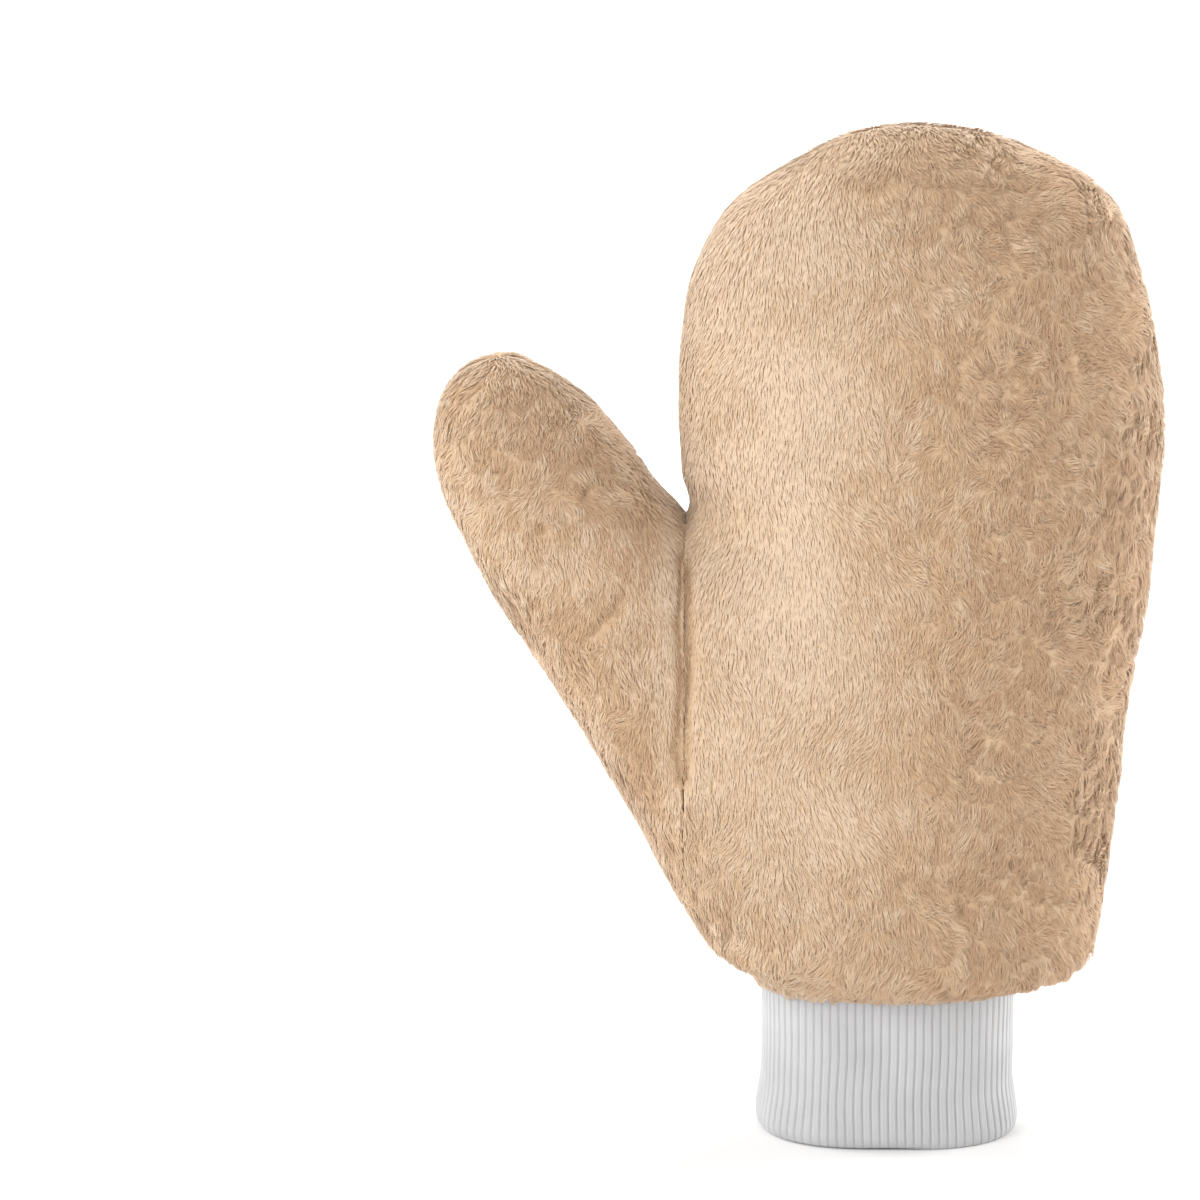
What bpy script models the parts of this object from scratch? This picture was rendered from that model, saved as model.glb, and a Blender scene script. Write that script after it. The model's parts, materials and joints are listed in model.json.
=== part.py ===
"""Wash mitt: two pile fleece panels and a separately sewn thumb over a loose lining, on a folded rib-knit cuff.

X runs across the hand with the thumb on -X, Y from the palm side (-Y) to the back, Z up from the cuff hem.
Lengths are in millimetres until MM turns them into metres. Sections across the hand are superellipses.
"""

from math import radians

import bmesh
import bpy
import numpy as np

MM = 0.001

# Layers, measured inward from the tips of the pile
PILE_WALL = 10.0
SEAM_ROW = 11.2
LINING_OUTER = 12.2
LINING_THICKNESS = 0.8
LINING_INNER = LINING_OUTER + LINING_THICKNESS
PANEL_GAP = 0.4

# Rib-knit cuff, a tube folded double at the hem
CUFF_CENTRE_X = 26.4
CUFF_HALF_WIDTH = 35.5
CUFF_HALF_DEPTH = 27.0
CUFF_EXPONENT = 2.6
CUFF_TOP = 50.0
KNIT_THICKNESS = 1.4
FOLD_GAP = 1.0
RIBS = 87
RIB_DEPTH = 0.5
HEM_FLARE = 1.4

# Necks of the fleece and of the lining, as clearances from the outside of the cuff
FLEECE_NECK_CLEARANCE = 1.4
LINING_NECK_CLEARANCE = -4.6
FLEECE_HEM = 38.0
LINING_HEM = 41.0
NECK_END = 50.0
NECK_SPREAD = 12.0

# Edge of the hand part seen from the palm side, clockwise from the thumb side of the hem: (x, z)
HAND_OUTLINE = [
    (-11.9, 38.0), (-15.5, 43.0), (-21.3, 48.6), (-26.0, 55.0), (-32.4, 65.5), (-40.5, 78.0),
    (-48.0, 92.0), (-52.0, 115.0), (-51.0, 140.0), (-44.0, 161.0), (-30.9, 176.5), (-32.4, 190.0),
    (-33.2, 208.0), (-32.4, 226.0), (-29.6, 243.0), (-21.6, 260.0), (-8.8, 271.6), (11.9, 282.4),
    (31.0, 285.0), (53.0, 282.0), (75.8, 271.9), (87.7, 260.4), (94.0, 243.2), (98.7, 220.4),
    (100.6, 197.0), (97.3, 157.4), (92.9, 123.0), (89.3, 88.7), (84.9, 57.0), (83.0, 48.6),
    (79.0, 43.0), (66.0, 38.0),
]
# Half depth of the hand part, from the hem up to the fingertip end: (half depth, z)
HAND_DEPTH = [
    (29.8, 38.0), (35.0, 42.0), (38.0, 49.0), (38.5, 60.0), (37.5, 85.0), (36.5, 125.0),
    (36.0, 170.0), (34.5, 205.0), (31.5, 232.0), (26.5, 254.0), (19.5, 270.0), (10.5, 281.0),
    (0.0, 285.0),
]
# Edge of the thumb part, running on past the seam that joins it to the hand part: (x, z)
THUMB_OUTLINE = [
    (-26.5, 56.0), (-35.4, 71.2), (-47.3, 94.1), (-60.6, 117.0), (-71.5, 134.2), (-82.8, 151.4),
    (-91.6, 168.5), (-97.6, 182.0), (-100.6, 196.0), (-98.6, 209.0), (-91.5, 218.0), (-80.5, 222.0),
    (-69.5, 217.8), (-58.0, 209.5), (-47.3, 197.2), (-39.3, 185.7), (-30.9, 176.5), (-20.0, 163.0),
    (-13.0, 145.0), (-11.0, 120.0), (-11.0, 90.0), (-12.0, 70.0), (-14.0, 56.0),
]
THUMB_DEPTH = [
    (20.0, 56.0), (24.5, 75.0), (26.6, 105.0), (26.8, 140.0), (25.8, 170.0), (23.0, 192.0),
    (18.0, 208.0), (9.5, 219.0), (0.0, 222.0),
]
BODY_EXPONENT = 2.2

# Seam between the thumb part and the hand part
THUMB_SEAM_X = -31.5
THUMB_SEAM_GAP = 1.2
WEB_Z = 187.0
THUMB_SEAM_CENTRE_Z = 119.0
THUMB_SEAM_HALF_HEIGHT = 50.0
THUMB_SEAM_HALF_DEPTH = 18.0
THUMB_SEAM_LEGS = 60

# Stitching thread
THREAD_RADIUS = 0.25
STITCH_LEG = 4.0
STITCH_HALF_WIDTH = 0.9

# Where the mitt bends: the joining of the cuff, and the palm side of the thumb seam
WRIST_PIVOT = (CUFF_CENTRE_X, 0.0, 46.0)
THUMB_PIVOT = (THUMB_SEAM_X, -27.5, THUMB_SEAM_CENTRE_Z)

# Name: (linear base colour, roughness, metallic)
MATERIALS = {
    "fleece": ((0.62, 0.47, 0.33), 0.95, 0.0),
    "lining": ((0.70, 0.66, 0.58), 0.85, 0.0),
    "rib_knit": ((0.76, 0.74, 0.71), 0.9, 0.0),
    "thread": ((0.66, 0.55, 0.42), 0.6, 0.0),
}

FLEECE_RING_POINTS = 40
LINING_RING_POINTS = 32
THUMB_RING_POINTS = 28
CURVE_SAMPLES = 12


def clear_scene():
    for obj in list(bpy.data.objects):
        bpy.data.objects.remove(obj, do_unlink=True)


def signed_power(value, power):
    return np.sign(value) * np.abs(value) ** power


def smooth_curve(points):
    """A dense Catmull-Rom curve through the points."""
    points = np.array(points, float)
    ends = 2 * points[[0, -1]] - points[[1, -2]]
    p = np.vstack((ends[:1], points, ends[1:]))
    dense = []
    for i in range(len(points) - 1):
        a, b, c, d = p[i : i + 4]
        for u in np.arange(CURVE_SAMPLES) / CURVE_SAMPLES:
            dense.append(
                b
                + 0.5 * u * (c - a + u * (2 * a - 5 * b + 4 * c - d + u * (3 * (b - c) + d - a)))
            )
    return np.vstack((dense, points[-1:]))


def inset_curve(curve, inset):
    """The curve moved by inset to the right of its direction, which is inward on a clockwise outline."""
    tangent = np.gradient(curve, axis=0)
    tangent /= np.linalg.norm(tangent, axis=1, keepdims=True)
    return curve + inset * np.stack((tangent[:, 1], -tangent[:, 0]), axis=1)


class Envelope:
    """A rounded closed-top body given by its edge and its half depth, inset by a layer's depth in the pile."""

    def __init__(self, outline, depth, inset):
        edge = inset_curve(smooth_curve(outline), inset)
        mirrored = [(-half, z) for half, z in depth] + [row for row in depth[-2::-1]]
        bulge = inset_curve(smooth_curve(mirrored), inset)
        self.edge = edge
        self.peak = int(np.argmax(edge[:, 1]))
        self.bulge = bulge[: len(bulge) // 2 + 1]
        self.top = edge[self.peak, 1]

    def at(self, z):
        """(left edge, right edge, half depth) at height z."""
        left = np.interp(z, self.edge[: self.peak + 1, 1], self.edge[: self.peak + 1, 0])
        right = np.interp(-z, -self.edge[self.peak :, 1], self.edge[self.peak :, 0])
        return left, right, -np.interp(z, self.bulge[:, 1], self.bulge[:, 0])


def body_ring(envelope, z, neck_clearance, count):
    """The section of the envelope at height z, drawn in to the neck round the cuff if a clearance is given."""
    left, right, depth = envelope.at(z)
    centre, half = (left + right) / 2, (right - left) / 2
    mix = np.clip((z - NECK_END) / NECK_SPREAD, 0, 1)
    mix = mix * mix * (3 - 2 * mix)
    if neck_clearance is not None:
        neck_half = CUFF_HALF_WIDTH + neck_clearance
        neck_depth = CUFF_HALF_DEPTH + neck_clearance
        centre = CUFF_CENTRE_X + mix * (centre - CUFF_CENTRE_X)
        half = neck_half + mix * (half - neck_half)
        depth = neck_depth + mix * (depth - neck_depth)
    power = 2 / (CUFF_EXPONENT + mix * (BODY_EXPONENT - CUFF_EXPONENT))
    angle = 2 * np.pi * np.arange(count) / count
    x = centre + half * signed_power(np.cos(angle), power)
    y = depth * signed_power(np.sin(angle), power)
    return np.stack((x, y, np.full(count, z)), axis=1)


def dome_levels(bottom, top, count):
    """Heights from bottom to just under top, closer together towards the top."""
    return bottom + (top - bottom) * np.sin(np.pi / 2 * np.arange(count) / count)


def wall(envelope, neck_levels, start, count, neck_clearance, ring_points):
    """The rings of one face of a shell, and the point that closes it."""
    levels = list(neck_levels) + list(dome_levels(start, envelope.top, count))
    rings = [body_ring(envelope, z, neck_clearance, ring_points) for z in levels]
    pole = np.array([envelope.edge[envelope.peak, 0], 0.0, envelope.top])
    return rings, pole


def shell_mesh(name, outer, inner):
    """A closed-top shell between two walls, open at the bottom."""
    points, faces = [], []
    count = len(outer[0][0])
    for rings, pole in (outer, inner):
        base = len(points)
        outward = rings is outer[0]
        for ring in rings:
            points.extend(ring)
        points.append(pole)
        for row in range(len(rings) - 1):
            for i in range(count):
                a = base + row * count + i
                b = base + row * count + (i + 1) % count
                quad = (a, b, b + count, a + count)
                faces.append(quad if outward else quad[::-1])
        last = base + (len(rings) - 1) * count
        for i in range(count):
            cap = (last + i, last + (i + 1) % count, len(points) - 1)
            faces.append(cap if outward else cap[::-1])
    inside = len(outer[0]) * count + 1
    for i in range(count):
        j = (i + 1) % count
        faces.append((i, inside + i, inside + j, j))
    mesh = bpy.data.meshes.new(name)
    mesh.from_pydata([tuple(MM * c for c in point) for point in points], [], faces)
    return mesh


def add_object(name, data):
    obj = bpy.data.objects.new(name, data)
    bpy.context.scene.collection.objects.link(obj)
    return obj


def add_piece(name, data, material, joint):
    """A piece of the mitt in its own material, carried by the empty on its joint."""
    piece = add_object(name, data)
    data.materials.append(bpy.data.materials[material])
    if isinstance(data, bpy.types.Mesh):
        data.shade_smooth()
        data.set_sharp_from_angle(angle=radians(50))
    carry(piece, joint)
    return piece


def carry(obj, joint):
    """Makes the joint the parent, leaving the object where it stands."""
    obj.parent = joint
    obj.matrix_parent_inverse = joint.matrix_world.inverted()


def add_joint(name, pivot, parent=None):
    joint = add_object(name, None)
    joint.location = [MM * c for c in pivot]
    joint.empty_display_size = 10 * MM
    bpy.context.view_layer.update()
    if parent:
        carry(joint, parent)
    return joint


def add_materials():
    for name, (colour, roughness, metallic) in MATERIALS.items():
        material = bpy.data.materials.new(name)
        material.use_nodes = True
        shader = material.node_tree.nodes["Principled BSDF"]
        shader.inputs["Base Color"].default_value = (*colour, 1)
        shader.inputs["Roughness"].default_value = roughness
        shader.inputs["Metallic"].default_value = metallic


def add_cutter(name, low, high):
    """A box between two corners that only cuts."""
    x0, y0, z0 = (MM * c for c in low)
    x1, y1, z1 = (MM * c for c in high)
    corners = [(x, y, z) for z in (z0, z1) for x, y in ((x0, y0), (x1, y0), (x1, y1), (x0, y1))]
    faces = [(3, 2, 1, 0), (4, 5, 6, 7), (0, 1, 5, 4), (1, 2, 6, 5), (2, 3, 7, 6), (3, 0, 4, 7)]
    mesh = bpy.data.meshes.new(name)
    mesh.from_pydata(corners, [], faces)
    cutter = add_object(name, mesh)
    cutter.hide_render = True
    cutter.display_type = "WIRE"
    return cutter


def sliced(mesh, point, normal):
    """A copy of the closed mesh without what lies on the normal's side of a plane, closed again there."""
    bm = bmesh.new()
    bm.from_mesh(mesh)
    parts = bm.verts[:] + bm.edges[:] + bm.faces[:]
    where = [MM * c for c in point]
    bmesh.ops.bisect_plane(
        bm, geom=parts, dist=1e-8, plane_co=where, plane_no=normal, clear_outer=True
    )
    rim = [edge for edge in bm.edges if edge.is_boundary]
    bmesh.ops.triangle_fill(bm, edges=rim, use_beauty=True)
    bmesh.ops.recalc_face_normals(bm, faces=bm.faces)
    piece = bpy.data.meshes.new(mesh.name)
    bm.to_mesh(piece)
    bm.free()
    return piece


def front_and_back(mesh):
    """The palm-side and the back half of a shell, parted at the edge seam."""
    gap = PANEL_GAP / 2
    return sliced(mesh, (0, -gap, 0), (0, 1, 0)), sliced(mesh, (0, gap, 0), (0, -1, 0))


def hand_panels(joint):
    mouth = add_cutter(
        "thumb_mouth_cutter",
        (-70, -60, 30),
        (THUMB_SEAM_X + THUMB_SEAM_GAP / 2, 60, WEB_Z),
    )
    outer = Envelope(HAND_OUTLINE, HAND_DEPTH, 0)
    inner = Envelope(HAND_OUTLINE, HAND_DEPTH, PILE_WALL)
    fleece = shell_mesh(
        "hand_fleece",
        wall(outer, (FLEECE_HEM, 41, 46, 55), 67, 16, None, FLEECE_RING_POINTS),
        wall(
            inner,
            (FLEECE_HEM, NECK_END, 56),
            62,
            13,
            FLEECE_NECK_CLEARANCE,
            FLEECE_RING_POINTS,
        ),
    )
    outer = Envelope(HAND_OUTLINE, HAND_DEPTH, LINING_OUTER)
    inner = Envelope(HAND_OUTLINE, HAND_DEPTH, LINING_INNER)
    neck = LINING_NECK_CLEARANCE
    levels = (LINING_HEM, NECK_END, 56)
    lining = shell_mesh(
        "hand_lining",
        wall(outer, levels, 62, 13, neck, LINING_RING_POINTS),
        wall(inner, levels, 62, 13, neck - LINING_THICKNESS, LINING_RING_POINTS),
    )
    for layer, shell in (("fleece", fleece), ("lining", lining)):
        for side, half in zip(("palm", "back"), front_and_back(shell)):
            panel = add_piece(side + "_" + layer, half, layer, joint)
            opening = panel.modifiers.new("thumb_mouth", "BOOLEAN")
            opening.operation = "DIFFERENCE"
            opening.solver = "EXACT"
            opening.object = mouth


def thumb_panels(joint):
    seam = (THUMB_SEAM_X - THUMB_SEAM_GAP / 2, 0, 0)
    for layer, insets in (("fleece", (0, PILE_WALL)), ("lining", (LINING_OUTER, LINING_INNER))):
        walls = []
        for inset in insets:
            envelope = Envelope(THUMB_OUTLINE, THUMB_DEPTH, inset)
            walls.append(wall(envelope, (), 58 + 1.4 * inset, 14, None, THUMB_RING_POINTS))
        shell = sliced(shell_mesh("thumb_" + layer, *walls), seam, (1, 0, 0))
        for side, half in zip(("palm", "back"), front_and_back(shell)):
            add_piece("thumb_" + side + "_" + layer, half, layer, joint)


def even_ring(half_x, half_y, exponent, count):
    """Evenly spaced points of a superellipse, and their outward normals."""
    angle = np.linspace(0, 2 * np.pi, 1441)
    ring = np.stack(
        (
            half_x * signed_power(np.cos(angle), 2 / exponent),
            half_y * signed_power(np.sin(angle), 2 / exponent),
        ),
        axis=1,
    )
    run = np.concatenate(([0], np.cumsum(np.linalg.norm(np.diff(ring, axis=0), axis=1))))
    steps = np.arange(count) * run[-1] / count
    even = np.stack([np.interp(steps, run, ring[:, axis]) for axis in (0, 1)], axis=1)
    along = np.roll(even, -1, axis=0) - np.roll(even, 1, axis=0)
    along /= np.linalg.norm(along, axis=1, keepdims=True)
    return even, np.stack((along[:, 1], -along[:, 0]), axis=1)


def rib_cuff(joint):
    """The knit tube folded double: ribs run up its outer layer, and the fold is its hem."""
    fold = 2 * KNIT_THICKNESS + FOLD_GAP
    section = [  # (outward, z, share of the rib depth)
        (0.0, CUFF_TOP, 1),
        (0.0, 14.0, 1),
        (HEM_FLARE, 3.0, 1),
        (HEM_FLARE - 0.8, 0.0, 0),
        (HEM_FLARE - 3.2, 0.0, 0),
        (-fold, 4.0, 0),
        (-fold, CUFF_TOP, 0),
        (KNIT_THICKNESS - fold, CUFF_TOP, 0),
        (KNIT_THICKNESS - fold, 6.0, 0),
        (-KNIT_THICKNESS, 6.0, 0),
        (-KNIT_THICKNESS, CUFF_TOP, 0),
    ]
    ring, normal = even_ring(CUFF_HALF_WIDTH, CUFF_HALF_DEPTH, CUFF_EXPONENT, 2 * RIBS)
    points = []
    for i, (place, out) in enumerate(zip(ring, normal)):
        for outward, z, share in section:
            x, y = place + out * (outward - RIB_DEPTH * share * (i % 2))
            points.append((MM * (x + CUFF_CENTRE_X), MM * y, MM * z))
    rows, per_row = len(ring), len(section)
    faces = []
    for i in range(rows):
        for k in range(per_row):
            a, b = i * per_row + k, i * per_row + (k + 1) % per_row
            shift = ((i + 1) % rows - i) * per_row
            faces.append((a, b, b + shift, a + shift))
    mesh = bpy.data.meshes.new("rib_cuff")
    mesh.from_pydata(points, [], faces)
    add_piece("rib_cuff", mesh, "rib_knit", joint)


def stitches(path, sideways, closed=False):
    """A zigzag along the path, one leg every STITCH_LEG, swinging along the sideways direction."""
    path = np.array(path, float)
    run = np.concatenate(([0], np.cumsum(np.linalg.norm(np.diff(path, axis=0), axis=1))))
    legs = int(run[-1] / STITCH_LEG) // 2 * 2
    steps = np.linspace(0, run[-1], legs + 1)
    row = np.stack([np.interp(steps, run, path[:, axis]) for axis in range(3)], axis=1)
    row += np.outer(STITCH_HALF_WIDTH * (-1.0) ** np.arange(legs + 1), sideways)
    return row[:-1] if closed else row


def thread(name, points, joint, closed=False):
    """A thread of round section along the points."""
    curve = bpy.data.curves.new(name, "CURVE")
    curve.dimensions = "3D"
    curve.bevel_depth = MM * THREAD_RADIUS
    curve.bevel_resolution = 0
    curve.use_fill_caps = not closed
    spline = curve.splines.new("POLY")
    spline.points.add(len(points) - 1)
    for target, point in zip(spline.points, points):
        target.co = (*(MM * c for c in point), 1)
    spline.use_cyclic_u = closed
    add_piece(name, curve, "thread", joint)


def edge_thread(name, outline, depth, keep, joint):
    """The overlock row between the layers along the part of an edge whose points keep accepts."""
    edge = Envelope(outline, depth, SEAM_ROW).edge
    path = [(x, 0, z) for x, z in edge if keep(x, z)]
    thread(name, stitches(path, (0, 1, 0)), joint)


def on_hand_edge(x, z):
    """The edge from above the web, over the fingertips and down to the gathers above the cuff."""
    return z > WEB_Z + 10 or (x > CUFF_CENTRE_X and z > NECK_END + NECK_SPREAD + 12)


def on_thumb_edge(x, z):
    """The edge from the heel of the hand, round the thumb and down to the web."""
    return x < THUMB_SEAM_X - 3 and z > 80


def cuff_joining_thread(joint):
    """The ring of stitches that joins the cuff to the fleece."""
    gap = FLEECE_NECK_CLEARANCE / 2
    ring, _ = even_ring(CUFF_HALF_WIDTH + gap, CUFF_HALF_DEPTH + gap, CUFF_EXPONENT, 240)
    height = (FLEECE_HEM + NECK_END) / 2
    path = [(x + CUFF_CENTRE_X, y, height) for x, y in np.vstack((ring, ring[:1]))]
    points = stitches(path, (0, 0, 1), closed=True)
    thread("cuff_joining_thread", points, joint, closed=True)


def cuff_side_seam_thread(joint):
    """The seam that makes the knit a tube, between the two layers of the fold."""
    x = CUFF_CENTRE_X - CUFF_HALF_WIDTH + KNIT_THICKNESS + FOLD_GAP / 2
    points = stitches([(x, 0, 8), (x, 0, CUFF_TOP - 2)], (0, 1, 0))
    thread("cuff_side_seam_thread", points, joint)


def thumb_seam_thread(joint):
    """The stitches round the mouth of the thumb, in the seam between the thumb and hand parts."""
    ring, outward = even_ring(
        THUMB_SEAM_HALF_DEPTH, THUMB_SEAM_HALF_HEIGHT, BODY_EXPONENT, THUMB_SEAM_LEGS
    )
    swing = STITCH_HALF_WIDTH * (-1.0) ** np.arange(THUMB_SEAM_LEGS)
    zigzag = ring + outward * swing[:, None]
    points = [(THUMB_SEAM_X, y, z + THUMB_SEAM_CENTRE_Z) for y, z in zigzag]
    thread("thumb_seam_thread", points, joint, closed=True)


def main():
    clear_scene()
    add_materials()
    cuff = add_joint("mitt_origin", (0, 0, 0))
    hand = add_joint("wrist_bend", WRIST_PIVOT, cuff)
    thumb = add_joint("thumb_fold", THUMB_PIVOT, hand)
    rib_cuff(cuff)
    cuff_side_seam_thread(cuff)
    hand_panels(hand)
    cuff_joining_thread(hand)
    edge_thread("hand_edge_thread", HAND_OUTLINE, HAND_DEPTH, on_hand_edge, hand)
    thumb_panels(thumb)
    edge_thread("thumb_edge_thread", THUMB_OUTLINE, THUMB_DEPTH, on_thumb_edge, thumb)
    thumb_seam_thread(thumb)


main()
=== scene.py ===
"""Wash mitt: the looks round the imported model, with its pile as real strands and its cuff as knitted ribs.

X runs across the hand with the thumb on -X, Y from the palm side (-Y) to the back, Z up from the cuff hem.
Lengths are in millimetres until MM turns them into metres.
"""

import json
from itertools import product
from math import cos, radians, sin

import bmesh
import bpy
import numpy as np
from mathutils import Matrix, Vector

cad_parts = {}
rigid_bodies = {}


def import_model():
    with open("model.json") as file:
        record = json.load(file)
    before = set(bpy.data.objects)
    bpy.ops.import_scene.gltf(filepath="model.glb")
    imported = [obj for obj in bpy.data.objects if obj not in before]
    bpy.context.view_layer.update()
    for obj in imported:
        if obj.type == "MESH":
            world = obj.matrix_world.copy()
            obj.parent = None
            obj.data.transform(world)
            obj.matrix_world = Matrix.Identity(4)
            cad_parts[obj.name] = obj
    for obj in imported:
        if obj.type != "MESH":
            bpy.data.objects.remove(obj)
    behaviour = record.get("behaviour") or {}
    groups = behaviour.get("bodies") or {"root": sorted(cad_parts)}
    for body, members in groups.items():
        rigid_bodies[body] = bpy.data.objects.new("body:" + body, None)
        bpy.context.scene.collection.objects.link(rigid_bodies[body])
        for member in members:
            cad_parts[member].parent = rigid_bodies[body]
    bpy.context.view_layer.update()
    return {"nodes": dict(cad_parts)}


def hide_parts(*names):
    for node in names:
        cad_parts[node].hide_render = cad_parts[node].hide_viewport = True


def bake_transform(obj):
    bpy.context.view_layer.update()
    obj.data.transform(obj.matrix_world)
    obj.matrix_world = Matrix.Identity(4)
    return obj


MM = 0.001
SEED = 20

# Camera and frame, in metres and degrees
LENS = 180.0
SENSOR = 36.0
VIEW_WIDTH = 0.3318
CAMERA_TARGET = (-0.0545, 0.0, 0.1515)
CAMERA_ELEVATION = 15.0

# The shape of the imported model, as its own source has it
HAND_OUTLINE = [
    (-11.9, 38.0), (-15.5, 43.0), (-21.3, 48.6), (-26.0, 55.0), (-32.4, 65.5), (-40.5, 78.0),
    (-48.0, 92.0), (-52.0, 115.0), (-51.0, 140.0), (-44.0, 161.0), (-30.9, 176.5), (-32.4, 190.0),
    (-33.2, 208.0), (-32.4, 226.0), (-29.6, 243.0), (-21.6, 260.0), (-8.8, 271.6), (11.9, 282.4),
    (31.0, 285.0), (53.0, 282.0), (75.8, 271.9), (87.7, 260.4), (94.0, 243.2), (98.7, 220.4),
    (100.6, 197.0), (97.3, 157.4), (92.9, 123.0), (89.3, 88.7), (84.9, 57.0), (83.0, 48.6),
    (79.0, 43.0), (66.0, 38.0),
]
HAND_DEPTH = [
    (29.8, 38.0), (35.0, 42.0), (38.0, 49.0), (38.5, 60.0), (37.5, 85.0), (36.5, 125.0),
    (36.0, 170.0), (34.5, 205.0), (31.5, 232.0), (26.5, 254.0), (19.5, 270.0), (10.5, 281.0),
    (0.0, 285.0),
]
THUMB_OUTLINE = [
    (-26.5, 56.0), (-35.4, 71.2), (-47.3, 94.1), (-60.6, 117.0), (-71.5, 134.2), (-82.8, 151.4),
    (-91.6, 168.5), (-97.6, 182.0), (-100.6, 196.0), (-98.6, 209.0), (-91.5, 218.0), (-80.5, 222.0),
    (-69.5, 217.8), (-58.0, 209.5), (-47.3, 197.2), (-39.3, 185.7), (-30.9, 176.5), (-20.0, 163.0),
    (-13.0, 145.0), (-11.0, 120.0), (-11.0, 90.0), (-12.0, 70.0), (-14.0, 56.0),
]
THUMB_DEPTH = [
    (20.0, 56.0), (24.5, 75.0), (26.6, 105.0), (26.8, 140.0), (25.8, 170.0), (23.0, 192.0),
    (18.0, 208.0), (9.5, 219.0), (0.0, 222.0),
]
BODY_EXPONENT = 2.2
CUFF_CENTRE_X = 26.4
CUFF_HALF_WIDTH = 35.5
CUFF_HALF_DEPTH = 27.0
CUFF_EXPONENT = 2.6
CUFF_TOP = 50.0
KNIT_THICKNESS = 1.4
FOLD_GAP = 1.0
HEM_FLARE = 1.4
FLEECE_HEM = 38.0
LINING_HEM = 41.0
LINING_OUTER = 12.2
LINING_THICKNESS = 0.8
LINING_NECK_CLEARANCE = -4.6
NECK_END = 50.0
NECK_SPREAD = 12.0
SEAM_X = -31.5
SEAM_CLEARANCE = 0.03
WEB_Z = 176.0
THUMB_START_Z = 65.0

# The pile: roots in the backing's surface, tips on the outer shape
PILE_INSET = 1.3
SMOOTH_INSET = 0.4
HEM_INSET = 0.4
HEM_LIFT = 5.5
BACKING_DEPTH = 9.0
HEM_BACKING_DEPTH = 1.7
GRID_STEP = 1.1
TUFT_SIZE = 4.6
TUFT_STRETCH = (1.0, 1.0, 0.72)
TUFT_SEED = 7
STRANDS_PER_MM2 = 2.5
STRAND_REACH = 3.2
STRAND_WIDTH = 0.12


def smoothstep(value, start, end):
    share = np.clip((value - start) / (end - start), 0, 1)
    return share * share * (3 - 2 * share)


def signed_power(value, power):
    return np.sign(value) * np.abs(value) ** power


def unit(vectors):
    return vectors / np.maximum(np.linalg.norm(vectors, axis=-1, keepdims=True), 1e-9)


def hashed(cells, seed):
    """A repeatable random number from 0 to 1 for each cell of a lattice."""
    mixed = cells.astype(np.int64) @ np.array([73856093, 19349663, 83492791]) + seed * 40503
    mixed = (mixed ^ (mixed >> 13)) * 1274126177
    mixed ^= mixed >> 16
    return (mixed & 0xFFFFF) / 0xFFFFF


def noise(points, size, seed):
    """Smooth noise from -1 to 1, with lumps about size across."""
    scaled = points / size
    cell = np.floor(scaled).astype(np.int64)
    inside = scaled - cell
    inside = inside * inside * (3 - 2 * inside)
    total = 0
    for corner in product((0, 1), repeat=3):
        share = np.prod(np.where(corner, inside, 1 - inside), axis=-1)
        total = total + share * hashed(cell + corner, seed)
    return 2 * total - 1


def nearest_tuft(points, size, seed):
    """(centre, distance as a share of size, random number) of the tuft nearest each point."""
    cell = np.floor(points / size).astype(np.int64)
    nearest = np.full(points.shape[:-1], np.inf)
    centre = np.zeros_like(points)
    number = np.zeros(points.shape[:-1])
    for offset in product((-1, 0, 1), repeat=3):
        near = cell + offset
        jitter = np.stack([hashed(near, seed + axis) for axis in range(3)], axis=-1)
        place = (near + jitter) * size
        distance = np.linalg.norm(points - place, axis=-1)
        closer = distance < nearest
        nearest = np.where(closer, distance, nearest)
        centre = np.where(closer[..., None], place, centre)
        number = np.where(closer, hashed(near, seed + 3), number)
    return centre, nearest / size, number


def smooth_curve(points):
    """A dense Catmull-Rom curve through the points."""
    points = np.array(points, float)
    ends = 2 * points[[0, -1]] - points[[1, -2]]
    p = np.vstack((ends[:1], points, ends[1:]))
    dense = []
    for i in range(len(points) - 1):
        a, b, c, d = p[i : i + 4]
        for u in np.arange(24) / 24:
            cubic = 2 * a - 5 * b + 4 * c - d + u * (3 * (b - c) + d - a)
            dense.append(b + 0.5 * u * (c - a + u * cubic))
    return np.vstack((dense, points[-1:]))


def inset_curve(curve, inset):
    """The curve moved by inset to the right of its direction, which is inward on a clockwise outline."""
    tangent = unit(np.gradient(curve, axis=0))
    return curve + inset * np.stack((tangent[:, 1], -tangent[:, 0]), axis=1)


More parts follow.
